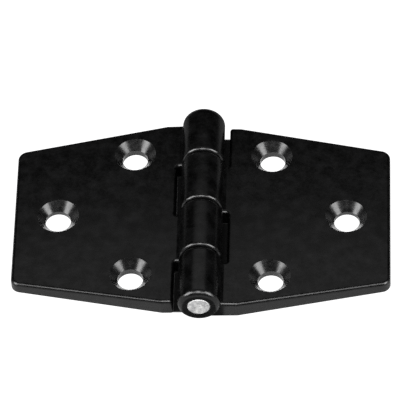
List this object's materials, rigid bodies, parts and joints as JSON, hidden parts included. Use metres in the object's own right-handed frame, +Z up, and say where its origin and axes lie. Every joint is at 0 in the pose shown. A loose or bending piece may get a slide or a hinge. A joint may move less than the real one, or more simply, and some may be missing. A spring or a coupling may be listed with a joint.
{
  "type": "plastic hinge",
  "caption": "Moulded black plastic butt hinge: tapered leaves with countersunk screw holes, interleaved knuckles and a steel pin.",
  "frame": {"origin": "on the underside of the open hinge, below the middle of the barrel", "axes": "+X across the leaves, +Y along the pin towards the barrel's closed end, +Z up out of the countersunk faces"},
  "size_m": [0.0762, 0.05, 0.0086],
  "materials": {
    "black_nylon": "satin",
    "pin_steel": "satin"
  },
  "bodies": {
    "right_leaf": {"right_leaf": "black_nylon", "hinge_pin": "pin_steel"},
    "left_leaf": {"left_leaf": "black_nylon"}
  },
  "joints": [
    {"name": "leaf_fold", "type": "hinge", "parent": "right_leaf", "child": "left_leaf", "pos_m": [0, 0, 0.00426], "axis": [0, 1, 0], "range_deg": [-100, 185]}
  ]
}
